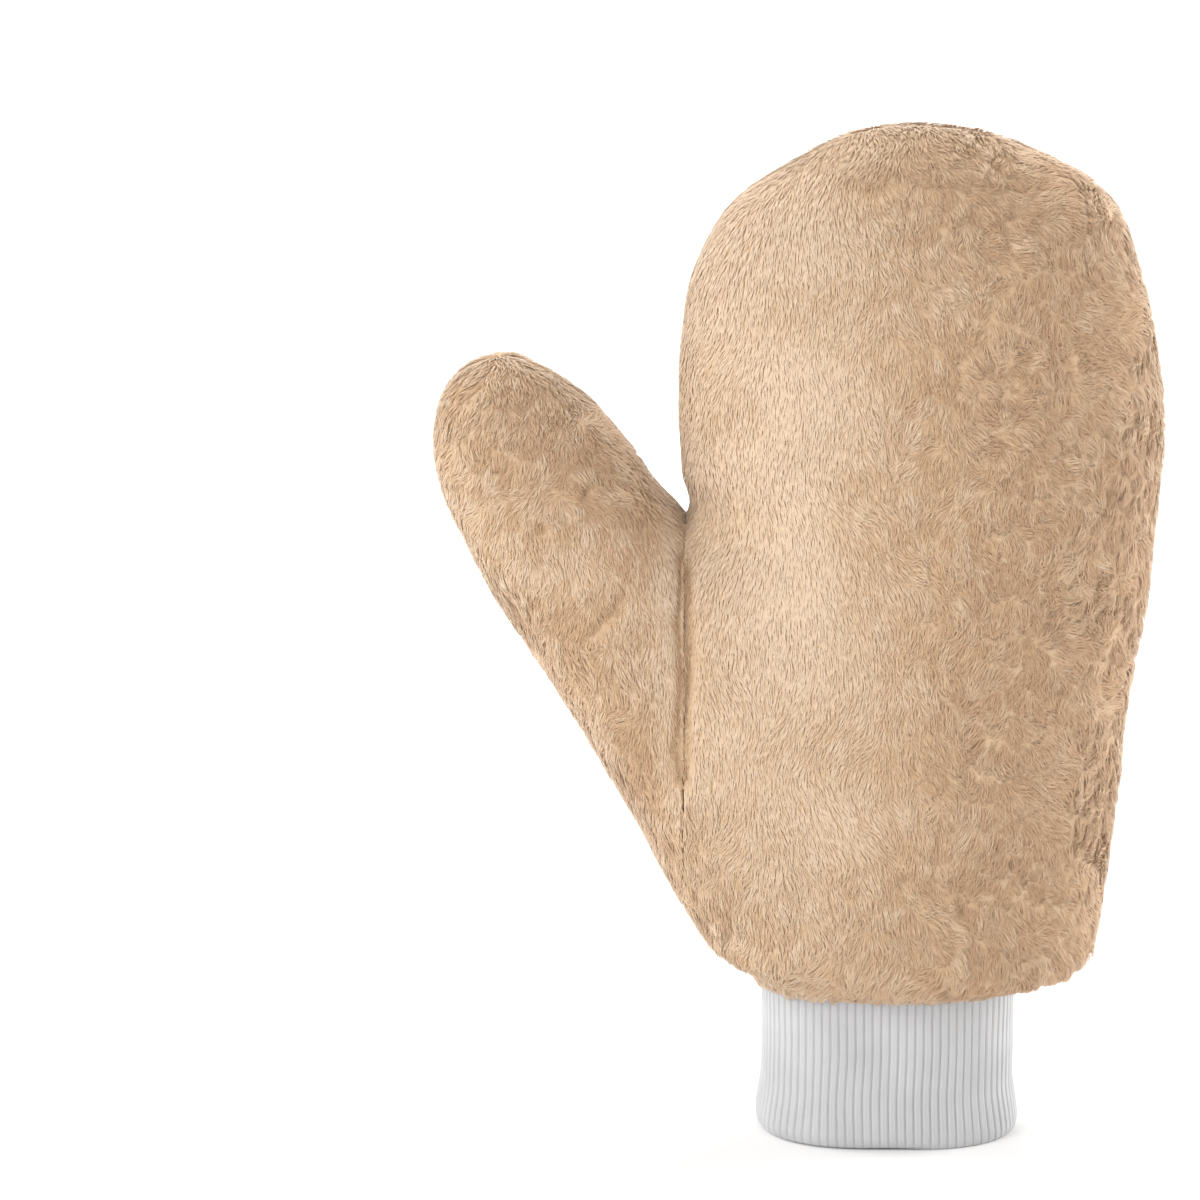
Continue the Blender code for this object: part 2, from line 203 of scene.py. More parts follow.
class Envelope:
    """A rounded closed-top body given by its edge and its half depth, inset by a layer's depth."""

    def __init__(self, outline, depth, inset=0.0):
        edge = inset_curve(smooth_curve(outline), inset)
        mirrored = [(-half, z) for half, z in depth] + list(depth[-2::-1])
        bulge = inset_curve(smooth_curve(mirrored), inset)
        peak = int(np.argmax(edge[:, 1]))
        self.left = edge[: peak + 1]
        self.right = edge[peak:][::-1]
        self.bulge = bulge[: len(bulge) // 2 + 1]
        self.top = edge[peak, 1]

    def at(self, z):
        """(left edge, right edge, half depth) at height z."""
        left = np.interp(z, self.left[:, 1], self.left[:, 0])
        right = np.interp(z, self.right[:, 1], self.right[:, 0])
        return left, right, -np.interp(z, self.bulge[:, 1], self.bulge[:, 0])

    def levels(self, bottom, step):
        """Heights from bottom to the top, a step apart as measured along the surface."""
        z = np.linspace(bottom, self.top, 4000)
        left, right, depth = self.at(z)
        slope = np.maximum(np.abs(np.gradient(right - left)) / 2, np.abs(np.gradient(depth)))
        run = np.cumsum(np.hypot(np.gradient(z), slope))
        return np.interp(np.linspace(run[0], run[-1], int(run[-1] / step)), run, z)

    def half_depth(self, x, z):
        """How far the surface stands out at each (x, z), and 0 outside the edge."""
        left, right, depth = self.at(z)
        across = np.abs(2 * x - left - right) / np.maximum(right - left, 1e-6)
        return depth * np.maximum(1 - across**BODY_EXPONENT, 0) ** (1 / BODY_EXPONENT)


HAND = Envelope(HAND_OUTLINE, HAND_DEPTH)
THUMB = Envelope(THUMB_OUTLINE, THUMB_DEPTH)


def half_grid(envelope, bottom, step, columns, side, neck_clearance=None):
    """Points (rows, columns, 3) over one side of an envelope, side -1 for the palm and 1 for the back."""
    z = envelope.levels(bottom, step)[:, None]
    left, right, depth = envelope.at(z)
    centre, half = (left + right) / 2, (right - left) / 2
    mix = smoothstep(z, NECK_END, NECK_END + NECK_SPREAD)
    if neck_clearance is not None:
        neck_half = CUFF_HALF_WIDTH + neck_clearance
        neck_depth = CUFF_HALF_DEPTH + neck_clearance
        centre = CUFF_CENTRE_X + mix * (centre - CUFF_CENTRE_X)
        half = neck_half + mix * (half - neck_half)
        depth = neck_depth + mix * (depth - neck_depth)
    power = 2 / (CUFF_EXPONENT + mix * (BODY_EXPONENT - CUFF_EXPONENT))
    angle = np.linspace(0, np.pi, columns)[None, :]
    x = centre + half * signed_power(np.cos(angle), power)
    y = side * depth * np.abs(np.sin(angle)) ** power
    return np.stack((x, y, z + 0 * x), axis=-1)


def lift_hem(grid):
    """The grid with its lowest rows drawn up to where the fleece meets the cuff."""
    lifted = grid.copy()
    lifted[..., 2] += HEM_LIFT * (1 - smoothstep(grid[..., 2], FLEECE_HEM, FLEECE_HEM + 22))
    return lifted


def grid_normals(grid, side):
    """Outward unit normals of a half grid."""
    down = np.gradient(grid, axis=0)
    across = np.gradient(grid, axis=1)
    normal = unit(np.cross(across, down)) * side
    normal[:, 0] = unit(normal[:, 0] * (1, 0, 1))
    normal[:, -1] = unit(normal[:, -1] * (1, 0, 1))
    normal[-1] = (0, 0, 1)
    return normal


def join_at_seam(grid, other, side):
    """The grid with its surface run smoothly into the other part's round the thumb seam."""
    x, z = grid[..., 0], grid[..., 2]
    own, theirs = np.abs(grid[..., 1]), other.half_depth(x, z)
    fillet = 7.0 - 5.5 * smoothstep(z, 95, 150)
    meeting = np.maximum(fillet - np.abs(own - theirs), 0) / fillet
    near = 1 - smoothstep(np.abs(x - SEAM_X), 12, 22)
    below_web = z < WEB_Z
    step = np.clip(theirs - own, 0, 4) * np.exp(-(((x - SEAM_X) / 5) ** 2))
    raised = own + np.minimum(below_web * (step + near * meeting**2 * fillet / 4), own)
    joined = grid.copy()
    joined[..., 1] = side * raised
    return joined


def end_at_seam(grid, part):
    """The grid with what lies beyond the thumb seam pressed flat onto it."""
    x, y, z = grid[..., 0], grid[..., 1], grid[..., 2]
    ended = grid.copy()
    if part == "hand":
        ended[..., 0] = np.where(z < WEB_Z, np.maximum(x, SEAM_X + SEAM_CLEARANCE), x)
        return ended
    mouth = np.maximum(THUMB.half_depth(SEAM_X, z) - PILE_INSET, 0)
    ended[..., 0] = np.minimum(x, SEAM_X - SEAM_CLEARANCE)
    ended[..., 1] = np.where(x > SEAM_X, np.sign(y) * np.minimum(np.abs(y), mouth), y)
    return ended


# Creases of the palm side: ((x, z) points, half width, depth)
CREASES = [
    ([(-31.5, 170), (-31.5, 150), (-32.0, 126), (-32.5, 108)], 2.2, 2.2),
    ([(-47.8, 161), (-52.0, 155), (-56.5, 149)], 1.6, 1.0),
    ([(59, 84), (65, 78), (70, 72)], 2.0, 1.5),
    ([(44, 80), (44, 72)], 1.8, 1.2),
    ([(28, 81), (42, 79), (56, 81)], 3.0, 0.9),
    ([(12, 271), (28, 274.5), (38, 271.5), (63, 270.5)], 2.6, 0.7),
]
PITS = [(-58.3, 188.5), (-70.5, 178.0), (-82.4, 194.0), (-32.3, 168.0)]


def distance_to_line(x, z, line):
    """The distance of each (x, z) from a line of points."""
    nearest = np.full(x.shape, np.inf)
    for (x0, z0), (x1, z1) in zip(line, line[1:]):
        along = ((x - x0) * (x1 - x0) + (z - z0) * (z1 - z0)) / ((x1 - x0) ** 2 + (z1 - z0) ** 2)
        along = np.clip(along, 0, 1)
        nearest = np.minimum(nearest, np.hypot(x - x0 - along * (x1 - x0), z - z0 - along * (z1 - z0)))
    return nearest


def web_share(points):
    """1 in the web between thumb and hand and over the heel of the thumb seam, falling to 0 round them."""
    x, z = points[..., 0], points[..., 2]
    beside = np.exp(-(((x - SEAM_X) / 7) ** 2))
    web = np.exp(-(((z - WEB_Z) / 7) ** 2))
    heel = np.exp(-(((z - THUMB_START_Z) / 9) ** 2))
    return beside * np.maximum(web, heel)


def crease_depth(points):
    """How far creases, pits and seams pull the pile in at each point."""
    x, y, z = points[..., 0], points[..., 1], points[..., 2]
    wander = 1.2 * noise(points, 9.0, 51)
    depth = np.zeros(x.shape)
    for line, width, deep in CREASES:
        near = distance_to_line(x + wander, z + wander, line)
        depth = np.maximum(depth, deep * np.exp(-((near / width) ** 2)))
    for px, pz in PITS:
        depth = np.maximum(depth, 1.8 * np.exp(-(np.hypot(x - px, z - pz) / 1.7) ** 2))
    depth = np.where(y > 0, 0, depth)
    back_seam = np.exp(-(((x - SEAM_X + wander) / 2.4) ** 2)) * smoothstep(z, 96, 120)
    depth = np.where((y > 0) & (z < WEB_Z), 2.2 * back_seam, depth)
    edge = np.exp(-((y / 1.6) ** 2)) * smoothstep(z, 60, 75)
    return np.maximum(depth, 0.5 * edge) * (1 - web_share(points))


def roughness_of_pile(points):
    """How tousled the pile is, from 0 where it is smooth to 1."""
    x, y, z = points[..., 0], points[..., 1], points[..., 2]
    right = smoothstep(x, -5, 62)
    low = 0.5 * smoothstep(z, 110, 70)
    thumb = 0.55 * smoothstep(-x, 34, 44)
    patchy = 0.16 * noise(points, 24.0, 31)
    edge = 1 - 0.65 * np.exp(-((y / 11) ** 2))
    return np.clip(0.10 + (0.72 * np.maximum(right, np.maximum(low, thumb)) + patchy) * edge, 0, 1)


def relief(points):
    """The height of the pile's lumps and tufts over the smooth shape."""
    _, distance, number = nearest_tuft(points * TUFT_STRETCH, TUFT_SIZE, TUFT_SEED)
    tuft = 0.75 * (0.75 - distance) + 0.5 * (number - 0.5)
    rough = roughness_of_pile(points)
    lumps = 0.6 * noise(points, 31.0, 3) + 0.35 * noise(points, 13.0, 4)
    lumps = lumps * smoothstep(points[..., 2], FLEECE_HEM, FLEECE_HEM + 20)
    return (lumps + (0.05 + 1.1 * rough) * tuft) * (1 - web_share(points)) - 0.3 - crease_depth(points)


def pile_inset(points):
    """The depth of the strands' roots under the outer shape, less where smooth, at the hem and in the web."""
    inset = SMOOTH_INSET + (PILE_INSET - SMOOTH_INSET) * roughness_of_pile(points)
    hem = smoothstep(points[..., 2], FLEECE_HEM + HEM_LIFT, FLEECE_HEM + HEM_LIFT + 9)
    return HEM_INSET + (inset - HEM_INSET) * hem * (1 - web_share(points))


def backing_depth(z):
    """The depth of the backing's inner face under the outer shape, less at the hem."""
    rise = smoothstep(z, FLEECE_HEM + HEM_LIFT, FLEECE_HEM + HEM_LIFT + 9)
    return HEM_BACKING_DEPTH + (BACKING_DEPTH - HEM_BACKING_DEPTH) * rise


def add_mesh(name, points, faces, material):
    """An object from points in millimetres and arrays of faces, each array with its own corner count."""
    corners = np.concatenate([group.ravel() for group in faces]).astype(np.int32)
    sizes = np.concatenate([np.full(len(group), group.shape[1]) for group in faces])
    mesh = bpy.data.meshes.new(name)
    mesh.vertices.add(len(points))
    mesh.vertices.foreach_set("co", (points * MM).astype(np.float32).ravel())
    mesh.loops.add(len(corners))
    mesh.loops.foreach_set("vertex_index", corners)
    mesh.polygons.add(len(sizes))
    mesh.polygons.foreach_set("loop_start", (np.cumsum(sizes) - sizes).astype(np.int32))
    mesh.update(calc_edges=True)
    mesh.shade_smooth()
    mesh.materials.append(material)
    obj = bpy.data.objects.new(name, mesh)
    bpy.context.scene.collection.objects.link(obj)
    return obj


def merge_close(obj, distance=0.01):
    """Welds the points that lie together, as at the top of a loft."""
    bm = bmesh.new()
    bm.from_mesh(obj.data)
    bmesh.ops.remove_doubles(bm, verts=bm.verts, dist=distance * MM)
    bmesh.ops.dissolve_degenerate(bm, edges=bm.edges, dist=0.5 * distance * MM)
    bm.to_mesh(obj.data)
    bm.free()


def half_shell(name, outer, inner, side, material):
    """A closed half shell between two half grids of the same size."""
    rows, columns = outer.shape[:2]
    ring = np.concatenate((outer, inner[:, ::-1]), axis=1)
    around = 2 * columns
    row, column = np.meshgrid(np.arange(rows - 1), np.arange(around), indexing="ij")
    a = row * around + column
    b = row * around + (column + 1) % around
    walls = np.stack((a, b, b + around, a + around), axis=-1).reshape(-1, 4)
    i = np.arange(columns - 1)
    base = np.stack((i, around - 1 - i, around - 2 - i, i + 1), axis=-1)
    faces = np.concatenate((walls, base))
    if side < 0:
        faces = faces[:, ::-1]
    obj = add_mesh(name, ring.reshape(-1, 3), [faces], material)
    merge_close(obj)
    return obj


def pile_grids(part, side):
    """(outer shape, normals) of one side of the hand or of the thumb."""
    if part == "hand":
        grid = lift_hem(half_grid(HAND, FLEECE_HEM, GRID_STEP, 150, side))
        return join_at_seam(grid, THUMB, side), grid_normals(grid, side)
    grid = half_grid(THUMB, THUMB_START_Z, GRID_STEP, 80, side)
    return join_at_seam(grid, HAND, side), grid_normals(grid, side)


def thumb_share(points, on_thumb):
    """How far each point follows the thumb, from 0 to 1, through the fabric at the thumb seam."""
    x, z = points[:, 0], points[:, 2]
    reach = 30 - 17 * smoothstep(z, 128, WEB_Z)
    share = smoothstep(SEAM_X + reach - x, 0, 2 * reach) * smoothstep(z, 62, 100)
    above_web = smoothstep(z, WEB_Z, WEB_Z + 22)
    return 1 - (1 - share) * (1 - above_web) if on_thumb else share * (1 - above_web)


def fold_with_thumb(obj, shares):
    """Bakes the object's transform into its mesh; the shares are not used."""
    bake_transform(obj)


def points_of(obj):
    points = np.empty(len(obj.data.vertices) * 3, np.float32)
    obj.data.vertices.foreach_get("co", points)
    return points.reshape(-1, 3).astype(float) / MM


def backing(part, side, name, node, material):
    """The tufted body of the pile on one panel, from its strands' roots to the backing."""
    grid, normal = pile_grids(part, side)
    z = grid[..., 2]
    outer = end_at_seam(grid + normal * (relief(grid) - pile_inset(grid))[..., None], part)
    inner = end_at_seam(grid - normal * backing_depth(z)[..., None], part)
    inner[..., 1] = side * np.maximum(inner[..., 1] * side, 0.05)
    obj = half_shell(name, outer, inner, side, material)
    fold_with_thumb(obj, thumb_share(points_of(obj), part == "thumb"))
    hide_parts(node)
    smooth = 1.4 - 1.2 * roughness_of_pile(grid)[..., None]
    return obj, grid, outer, normal, unit(grid_normals(outer, side) + smooth * normal)


def scattered(grid, outer, normal, facing, part, rng):
    """(shape points, roots, normals, shading normals) of strands spread evenly over a panel."""
    sides = outer[1:, :-1] - outer[:-1, :-1], outer[:-1, 1:] - outer[:-1, :-1]
    area = np.linalg.norm(np.cross(*sides), axis=-1)
    x, z = outer[:-1, :-1, 0], grid[:-1, :-1, 2]
    free = x > SEAM_X + 2 * SEAM_CLEARANCE if part == "hand" else x < SEAM_X - 2 * SEAM_CLEARANCE
    area = np.where(free | (z > WEB_Z), area, 0).ravel()
    run = np.cumsum(area)
    count = int(run[-1] * STRANDS_PER_MM2)
    cell = np.searchsorted(run, rng.random(count) * run[-1])
    row, column = np.divmod(np.minimum(cell, len(area) - 1), grid.shape[1] - 1)
    u, v = rng.random((2, count, 1))
    return [
        (1 - u) * (1 - v) * field[row, column]
        + u * (1 - v) * field[row + 1, column]
        + (1 - u) * v * field[row, column + 1]
        + u * v * field[row + 1, column + 1]
        for field in (grid, outer, normal, facing)
    ]


def lay_of_pile(points, normal):
    """The direction in the surface that the pile lies in, mostly down, with swirls where it is tousled."""
    rough = roughness_of_pile(points)[:, None]
    down = np.array((0.10, 0.0, -1.0))
    swirl = np.stack([noise(points, 17.0, 11 + axis) for axis in range(3)], axis=-1)
    curl = np.stack([noise(points, 6.0, 15 + axis) for axis in range(3)], axis=-1)
    lay = down + (0.2 + 1.1 * rough) * swirl + (0.06 + 1.4 * rough) * curl
    lay -= (lay * normal).sum(axis=-1, keepdims=True) * normal
    return unit(lay)


def strand_points(shape, roots, normal, facing, rng):
    """(points, shading normals) of closed strands: two rings of three points, and a tip."""
    count = len(roots)
    rough = roughness_of_pile(shape)
    sunk = crease_depth(shape)
    centre, _, number = nearest_tuft(shape * TUFT_STRETCH, TUFT_SIZE, TUFT_SEED)
    centre = centre / TUFT_STRETCH
    lay = lay_of_pile(shape, normal)
    long = rng.uniform(0.75, 1.2, count) * (1 - 0.22 * np.minimum(sunk, 2))
    rise = pile_inset(shape) * long * (1.02 + 0.25 * rough * (number - 0.6))
    reach = STRAND_REACH * long * (1 - 0.25 * rough)
    gather = centre - shape
    gather -= (gather * normal).sum(axis=-1, keepdims=True) * normal
    pull = (0.68 * rough)[:, None] * gather
    side = unit(np.cross(normal, lay))
    sway = side * (rng.normal(0, 0.5, count) * (0.6 + rough))[:, None]
    width = STRAND_WIDTH * (rng.uniform(0.7, 1.3, count) * (1.7 - 0.7 * rough))[:, None]
    ridge = (0.25 + 0.35 * rough)[:, None]
    round_off = 0.15 * rough[:, None]
    rings, shading = [], []
    tilt = rng.normal(0, 0.02, (count, 3)) + rough[:, None] * rng.normal(0, 0.08, (count, 3))
    for share, taper in ((0.0, 1.0), (0.55, 0.85), (1.0, 0.0)):
        up = normal * (rise * (1 - (1 - share) ** 2))[:, None]
        along = (lay * reach[:, None] + pull) * share**1.4
        middle = roots + up + along + sway * share**2
        if taper == 0:
            rings.append(middle[:, None])
            shading.append(unit(facing + tilt)[:, None])
            continue
        spread = [-side * width, side * width, normal * ridge * width]
        corners = [facing - round_off * side, facing + round_off * side, facing]
        rings.append(np.stack([middle + taper * offset for offset in spread], axis=1))
        shading.append(np.stack([unit(corner + tilt) for corner in corners], axis=1))
    return np.concatenate(rings, axis=1), np.concatenate(shading, axis=1)


STRAND_POINTS = 7
STRAND_QUADS = np.array([(0, 1, 4, 3), (1, 2, 5, 4), (2, 0, 3, 5)])
STRAND_TRIANGLES = np.array([(3, 4, 6), (4, 5, 6), (5, 3, 6), (2, 1, 0)])
QUAD_FACINGS = np.array([-1, 1, 1])[:, None, None]
TRIANGLE_FACINGS = np.array([-1, 1, 1, -1])[:, None, None]


def add_strands(name, points, shading, shares, material):
    """One piece of closed strands, their undersides shaded the opposite way to their tops."""
    count = len(points)
    start = STRAND_POINTS * np.arange(count)[:, None, None]
    faces = [(start + STRAND_QUADS).reshape(-1, 4), (start + STRAND_TRIANGLES).reshape(-1, 3)]
    obj = add_mesh(name, points.reshape(-1, 3), faces, material)
    quads = (shading[:, STRAND_QUADS] * QUAD_FACINGS).reshape(-1, 3)
    triangles = (shading[:, STRAND_TRIANGLES] * TRIANGLE_FACINGS).reshape(-1, 3)
    obj.data.normals_split_custom_set(np.concatenate((quads, triangles)))
    fold_with_thumb(obj, np.repeat(shares, STRAND_POINTS))
    return obj


def pile(part, name, panel, tones, rng):
    """The strands of one panel, parted by tone, with painted shade in the tones of creased and tousled pile.
    """
    shape, roots, normal, facing = scattered(*panel, part, rng)
    points, shading = strand_points(shape, roots, unit(normal), unit(facing), rng)
    _, _, number = nearest_tuft(shape * TUFT_STRETCH, TUFT_SIZE, TUFT_SEED)
    rough = roughness_of_pile(shape)
    stray = (0.08 + 0.3 * rough) * rng.random(len(shape))
    # Tone differs at random by tuft, by strand and in soft patches; painted shade then gives darker tones to
    # strands in creases and where the pile is tousled, standing in for the shade in the creases, among the
    # tufts and on the right side away from the key light.
    value = 0.35 * rough * number + stray + 0.06 * noise(shape, 15.0, 41)
    value = value - 0.15 * np.minimum(crease_depth(shape), 2) - 0.75 * rough
    tone_and_painted_shade = np.searchsorted(np.quantile(value, (0.2, 0.4, 0.6, 0.8)), value)
    shares = thumb_share(shape, part == "thumb")
    pieces = []
    for tone, material in enumerate(tones):
        chosen = tone_and_painted_shade == tone
        tone_name = name + material.name.removeprefix("pile")
        strands = add_strands(tone_name, points[chosen], shading[chosen], shares[chosen], material)
        pieces.append(strands)
    return pieces


def rgb(red, green, blue):
    """A colour as sRGB numbers up to 255, made linear."""
    values = np.array((red, green, blue)) / 255
    return tuple(np.where(values <= 0.04045, values / 12.92, ((values + 0.055) / 1.055) ** 2.4))


class Nodes:
    """A new material's node tree, with short calls to add and join nodes."""

    def __init__(self, name):
        self.material = bpy.data.materials.new(name)
        self.material.use_nodes = True
        self.tree = self.material.node_tree
        self.shader = self.tree.nodes["Principled BSDF"]
        self.place = self.tree.nodes.new("ShaderNodeTexCoord").outputs["Object"]

    def add(self, kind, inputs=None, **settings):
        node = self.tree.nodes.new("ShaderNode" + kind)
        for key, value in settings.items():
            setattr(node, key, value)
        for key, value in (inputs or {}).items():
            if isinstance(value, bpy.types.NodeSocket):
                self.tree.links.new(value, node.inputs[key])
            else:
                node.inputs[key].default_value = value
        return node

    def noise(self, scale, detail=4.0):
        inputs = {"Vector": self.place, "Scale": scale, "Detail": detail}
        return self.add("TexNoise", inputs).outputs["Fac"]

    def spread(self, value, low, high):
        """The value, from 0.3 to 0.7, mapped to low to high."""
        inputs = {"Value": value, "From Min": 0.3, "From Max": 0.7, "To Min": low, "To Max": high}
        return self.add("MapRange", inputs).outputs["Result"]

    def ramp(self, value, colours):
        node = self.add("ValToRGB", {"Fac": value})
        elements = node.color_ramp.elements
        elements[0].position, elements[1].position = 0.3, 0.7
        for element, colour in zip(elements, colours):
            element.color = (*colour, 1)
        return node.outputs["Color"]

    def bump(self, height, strength, distance):
        inputs = {"Height": height, "Strength": strength, "Distance": distance * MM}
        return self.add("Bump", inputs).outputs["Normal"]

    def finish(self, colour, roughness, normal, sheen=0.0, sheen_tint=(1, 1, 1), specular=0.2):
        for key, value in (("Base Color", colour), ("Roughness", roughness), ("Normal", normal)):
            if isinstance(value, bpy.types.NodeSocket):
                self.tree.links.new(value, self.shader.inputs[key])
            else:
                self.shader.inputs[key].default_value = (*value, 1)
        self.shader.inputs["Sheen Weight"].default_value = sheen
        self.shader.inputs["Sheen Roughness"].default_value = 0.45
        self.shader.inputs["Sheen Tint"].default_value = (*sheen_tint, 1)
        self.shader.inputs["Specular IOR Level"].default_value = specular
        return self.material


def strand_material(tone, colour):
    """Fibre of one tone, with a soft uneven gloss along it."""
    nodes = Nodes("pile_" + tone)
    fine = nodes.noise(2600.0, 2.0)
    roughness = nodes.spread(fine, 0.62, 0.88)
    return nodes.finish(colour, roughness, nodes.bump(fine, 0.25, 0.05), 0.3, (1.0, 0.96, 0.9))


def backing_material():
    """The depths of the pile, warmer and darker as painted shade in the gaps between strands, mottled tuft by
    tuft.
    """
    nodes = Nodes("pile_depths")
    # Painted shade: the ramp's warm, darker colours stand in for the shade down among the strands' roots; the
    # mottle is the fleece's own tone.
    colour = nodes.ramp(nodes.noise(210.0), (rgb(194, 162, 129), rgb(206, 179, 149)))
    fine = nodes.noise(1500.0, 3.0)
    normal = nodes.bump(fine, 0.6, 0.4)
    return nodes.finish(colour, nodes.spread(fine, 0.8, 0.98), normal, 0.2, (1.0, 0.95, 0.88))


def knit_material():
    """Pale knitting yarn with a fibrous bump and faint unevenness."""
    nodes = Nodes("rib_yarn")
    colour = nodes.ramp(nodes.noise(60.0), (rgb(182, 182, 183), rgb(194, 194, 195)))
    fine = nodes.noise(2400.0, 3.0)
    normal = nodes.bump(fine, 0.35, 0.12)
    return nodes.finish(colour, nodes.spread(fine, 0.75, 0.95), normal, 0.15)


def lining_material():
    """Thin plain-woven cloth."""
    nodes = Nodes("lining_weave")
    waves = []
    for axis in ("X", "Z"):
        inputs = {"Vector": nodes.place, "Scale": 340.0, "Distortion": 0.4}
        waves.append(nodes.add("TexWave", inputs, bands_direction=axis).outputs["Fac"])
    weave = nodes.add("Math", {0: waves[0], 1: waves[1]}, operation="MULTIPLY").outputs["Value"]
    colour = nodes.ramp(nodes.noise(90.0), (rgb(214, 206, 190), rgb(232, 226, 212)))
    normal = nodes.bump(weave, 0.5, 0.15)
    return nodes.finish(colour, nodes.spread(nodes.noise(400.0), 0.7, 0.9), normal, 0.1)


def thread_material():
    """Twisted sewing thread with a satin finish."""
    nodes = Nodes("sewing_thread")
    inputs = {"Vector": nodes.place, "Scale": 900.0, "Distortion": 1.0}
    twist = nodes.add("TexWave", inputs, bands_direction="DIAGONAL").outputs["Fac"]
    colour = nodes.ramp(nodes.noise(300.0), (rgb(206, 182, 150), rgb(226, 206, 176)))
    return nodes.finish(colour, nodes.spread(twist, 0.4, 0.6), nodes.bump(twist, 0.5, 0.1), 0.1)


def even_ring(half_x, half_y, exponent, count):
    """Evenly spaced points of a superellipse, and their outward normals."""
    angle = np.linspace(0, 2 * np.pi, 2881)
    x = half_x * signed_power(np.cos(angle), 2 / exponent)
    ring = np.stack((x, half_y * signed_power(np.sin(angle), 2 / exponent)), axis=1)
    run = np.concatenate(([0], np.cumsum(np.linalg.norm(np.diff(ring, axis=0), axis=1))))
    steps = np.arange(count) * run[-1] / count
    even = np.stack([np.interp(steps, run, ring[:, axis]) for axis in (0, 1)], axis=1)
    along = unit(np.roll(even, -1, axis=0) - np.roll(even, 1, axis=0))
    return even, np.stack((along[:, 1], -along[:, 0]), axis=1)


RIBS = 87
RIB_COLUMNS = 8
RIB_DEPTH = 0.55
WALE_DEPTH = 0.16
COURSE = 1.4


def cuff_section():
    """Rows of (outward, z, share of the rib relief) round the double fold of the cuff."""
    fold = 2 * KNIT_THICKNESS + FOLD_GAP
    rows = []
    for z in np.arange(CUFF_TOP, 5.0, -COURSE / 2):
        rows.append((HEM_FLARE * smoothstep(z, 16, 3) + 0.7 * smoothstep(z, 44, 50), z, 1.0))
    rows += [(1.5, 4.2, 0.9), (1.45, 2.6, 0.8), (1.1, 1.1, 0.6), (0.4, 0.2, 0.4), (-0.6, 0.0, 0.3)]
    rows += [(-1.8, 0.1, 0.3), (-2.8, 1.0, 0.3), (-fold + 0.2, 2.6, 0.3)]
    for z in np.arange(5.0, CUFF_TOP + 0.1, 3.0):
        rows.append((-fold, z, -0.5))
    rows += [(KNIT_THICKNESS - fold, z, 0) for z in (CUFF_TOP, 27, 6)]
    rows += [(-KNIT_THICKNESS, z, 0) for z in (6, 27, CUFF_TOP)]
    return np.array(rows)


def rib_cuff(material):
    """The knit cuff: two-wale ribs with stitches, a folded hem, and the soft waves of worn knit."""
    count = RIBS * RIB_COLUMNS
    ring, normal = even_ring(CUFF_HALF_WIDTH, CUFF_HALF_DEPTH, CUFF_EXPONENT, count)
    section = cuff_section()
    outward, z, share = (section[:, [k]] for k in range(3))
    rib = (np.arange(count) % RIB_COLUMNS) / RIB_COLUMNS
    ridge = np.abs(np.sin(np.pi * rib)) ** 0.55
    wale = np.abs(np.sin(2 * np.pi * rib))
    course = np.where(np.arange(len(z)) % 2 == 0, 1.0, -1.0)[:, None]
    stitched = np.abs(share) > 0.2
    relief_out = RIB_DEPTH * (ridge - 1) + WALE_DEPTH * (wale - 1) + 0.05 * course * wale
    around = np.concatenate((ring, np.zeros((count, 1))), axis=1)
    place = around[None] + np.array((0, 0, 1)) * z[..., None]
    wave = 0.5 * noise(place, 16.0, 61) + 0.25 * noise(place, 7.0, 62)
    wave = wave * smoothstep(-share, -0.25, 0.55)
    out = outward + share * relief_out + np.where(stitched, wave, 0.3 * wave)
    lean = 0.35 * noise(place, 14.0, 63)
    tangent = np.stack((-normal[:, 1], normal[:, 0]), axis=1)
    height = z + np.where((z > 6) & (z < 49) & (share > 0.5), 0.32 * (wale - 0.5), 0)
    droop = 0.7 * noise(place * (1, 1, 0), 22.0, 64) * smoothstep(z, 12, 1)
    x = ring[:, 0] + normal[:, 0] * out + tangent[:, 0] * lean + CUFF_CENTRE_X
    y = ring[:, 1] + normal[:, 1] * out + tangent[:, 1] * lean
    points = np.stack((x, y, np.maximum(height + droop, 0)), axis=-1)
    rows = len(section)
    row, column = np.meshgrid(np.arange(rows), np.arange(count), indexing="ij")
    a, b = row * count + column, row * count + (column + 1) % count
    below = ((row + 1) % rows - row) * count
    faces = np.stack((a, a + below, b + below, b), axis=-1).reshape(-1, 4)
    obj = add_mesh("rib_knit_cuff", points.reshape(-1, 3), [faces], material)
    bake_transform(obj)
    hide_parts("rib_cuff")
    return obj


def lining(part, side, name, node, material):
    """A loose lining panel with soft creases."""
    outline, depth = (HAND_OUTLINE, HAND_DEPTH) if part == "hand" else (THUMB_OUTLINE, THUMB_DEPTH)
    faces = []
    for inset in (LINING_OUTER, LINING_OUTER + LINING_THICKNESS):
        envelope = Envelope(outline, depth, inset)
        if part == "hand":
            clearance = LINING_NECK_CLEARANCE - (inset - LINING_OUTER)
            grid = half_grid(envelope, LINING_HEM, 3.0, 60, side, clearance)
            grid[..., 0] = np.maximum(grid[..., 0], np.where(grid[..., 2] < 187, SEAM_X + 0.7, -99))
        else:
            grid = half_grid(envelope, 76.0, 3.0, 36, side)
            grid[..., 0] = np.minimum(grid[..., 0], SEAM_X - 0.7)
        faces.append(grid)
    rows = min(len(grid) for grid in faces)
    outer, inner = (grid[np.linspace(0, len(grid) - 1, rows).astype(int)] for grid in faces)
    crumple = 0.9 * noise(outer, 18.0, 71) + 0.5 * noise(outer, 8.0, 72) - 1.4
    crumple = crumple * smoothstep(outer[..., 2], NECK_END, NECK_END + 14)
    crumple = crumple * smoothstep(np.abs(outer[..., 1]), 0, 6)
    shift = grid_normals(outer, side) * crumple[..., None]
    obj = half_shell(name, outer + shift, inner + shift, side, material)
    fold_with_thumb(obj, thumb_share(points_of(obj), part == "thumb"))
    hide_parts(node)
    return obj


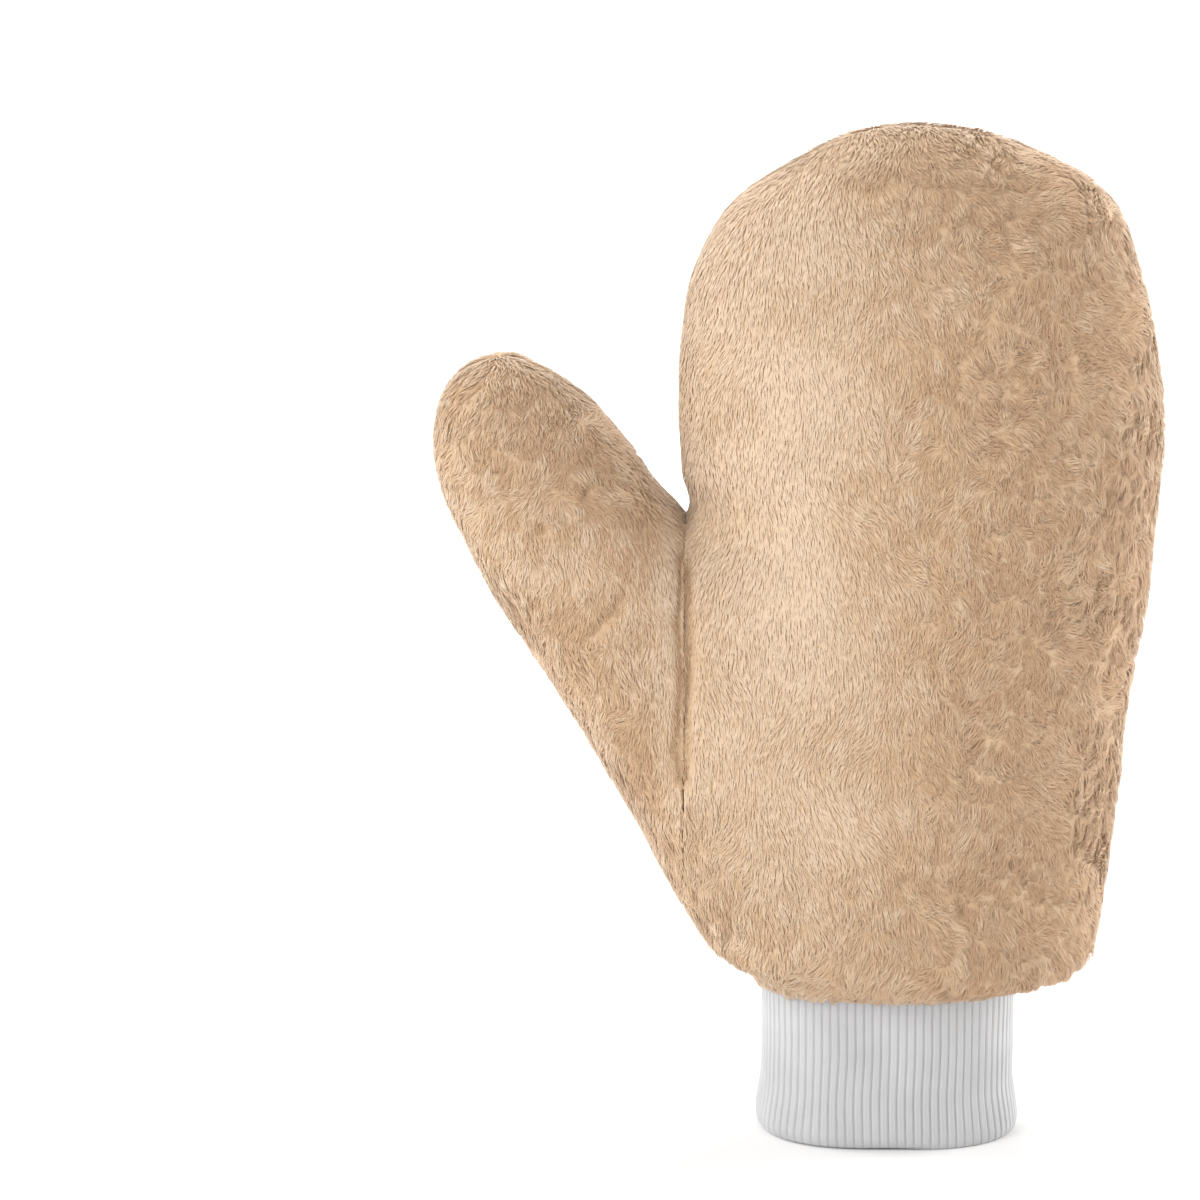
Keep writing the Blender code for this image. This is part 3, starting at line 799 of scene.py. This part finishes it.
def add_camera():
    """A long lens in front of the palm side, looking down a little."""
    data = bpy.data.cameras.new("camera")
    data.lens = LENS
    data.sensor_width = SENSOR
    camera = bpy.data.objects.new("camera", data)
    bpy.context.scene.collection.objects.link(camera)
    away = VIEW_WIDTH * LENS / SENSOR
    tilt = radians(CAMERA_ELEVATION)
    direction = Vector((0, -cos(tilt), sin(tilt)))
    camera.location = Vector(CAMERA_TARGET) + direction * away
    camera.rotation_euler = direction.to_track_quat("Z", "Y").to_euler()
    bpy.context.scene.camera = camera


def add_sun(name, direction, strength, softness):
    data = bpy.data.lights.new(name, "SUN")
    data.energy = strength
    data.angle = radians(softness)
    light = bpy.data.objects.new(name, data)
    bpy.context.scene.collection.objects.link(light)
    light.rotation_euler = Vector(direction).to_track_quat("Z", "Y").to_euler()


def add_studio():
    """A pale floor, white surroundings, a soft key from the left and rim lights from behind."""
    world = bpy.data.worlds.new("studio")
    bpy.context.scene.world = world
    world.use_nodes = True
    background = world.node_tree.nodes["Background"]
    background.inputs["Color"].default_value = (1, 1, 1, 1)
    background.inputs["Strength"].default_value = 0.8
    add_sun("key", (-0.75, -0.6, 0.55), 1.4, 40)
    add_sun("rim_left", (-0.9, 0.3, 0.4), 1.0, 25)
    add_sun("rim_right", (0.95, 0.35, 0.2), 2.5, 25)
    add_sun("rim_top", (0.1, 0.45, 0.85), 2.1, 25)
    bpy.context.scene.view_settings.view_transform = "Standard"
    nodes = Nodes("floor")
    nodes.shader.inputs["Base Color"].default_value = (0.93, 0.93, 0.93, 1)
    nodes.shader.inputs["Roughness"].default_value = 0.9
    nodes.shader.inputs["Specular IOR Level"].default_value = 0.0
    corner = 9000.0
    points = corner * np.array([(-1, -1, 0), (1, -1, 0), (1, 1, 0), (-1, 1, 0)])
    floor = add_mesh("studio_floor", points, [np.array([(0, 1, 2, 3)])], nodes.material)


def main():
    for obj in list(bpy.data.objects):
        bpy.data.objects.remove(obj)
    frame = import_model()
    add_camera()
    add_studio()
    depths = backing_material()
    cloth = lining_material()
    thread = thread_material()
    tones = [
        strand_material("deep", rgb(189, 155, 123)),
        strand_material("tan", rgb(196, 164, 132)),
        strand_material("mid", rgb(201, 172, 141)),
        strand_material("light", rgb(206, 179, 149)),
        strand_material("pale", rgb(211, 186, 159)),
    ]
    rng = np.random.default_rng(SEED)
    for part, prefix in (("hand", ""), ("thumb", "thumb_")):
        for side, face in ((-1, "palm"), (1, "back")):
            name = prefix + face
            body, *panel = backing(part, side, name + "_pile_body", name + "_fleece", depths)
            strands = pile(part, name + "_pile", panel, tones, rng)
            inside = lining(part, side, name + "_lining_cloth", name + "_lining", cloth)
    cuff = rib_cuff(knit_material())
    for node, obj in frame["nodes"].items():
        if node.endswith("_thread"):
            obj.data.materials.clear()
            obj.data.materials.append(thread)


main()
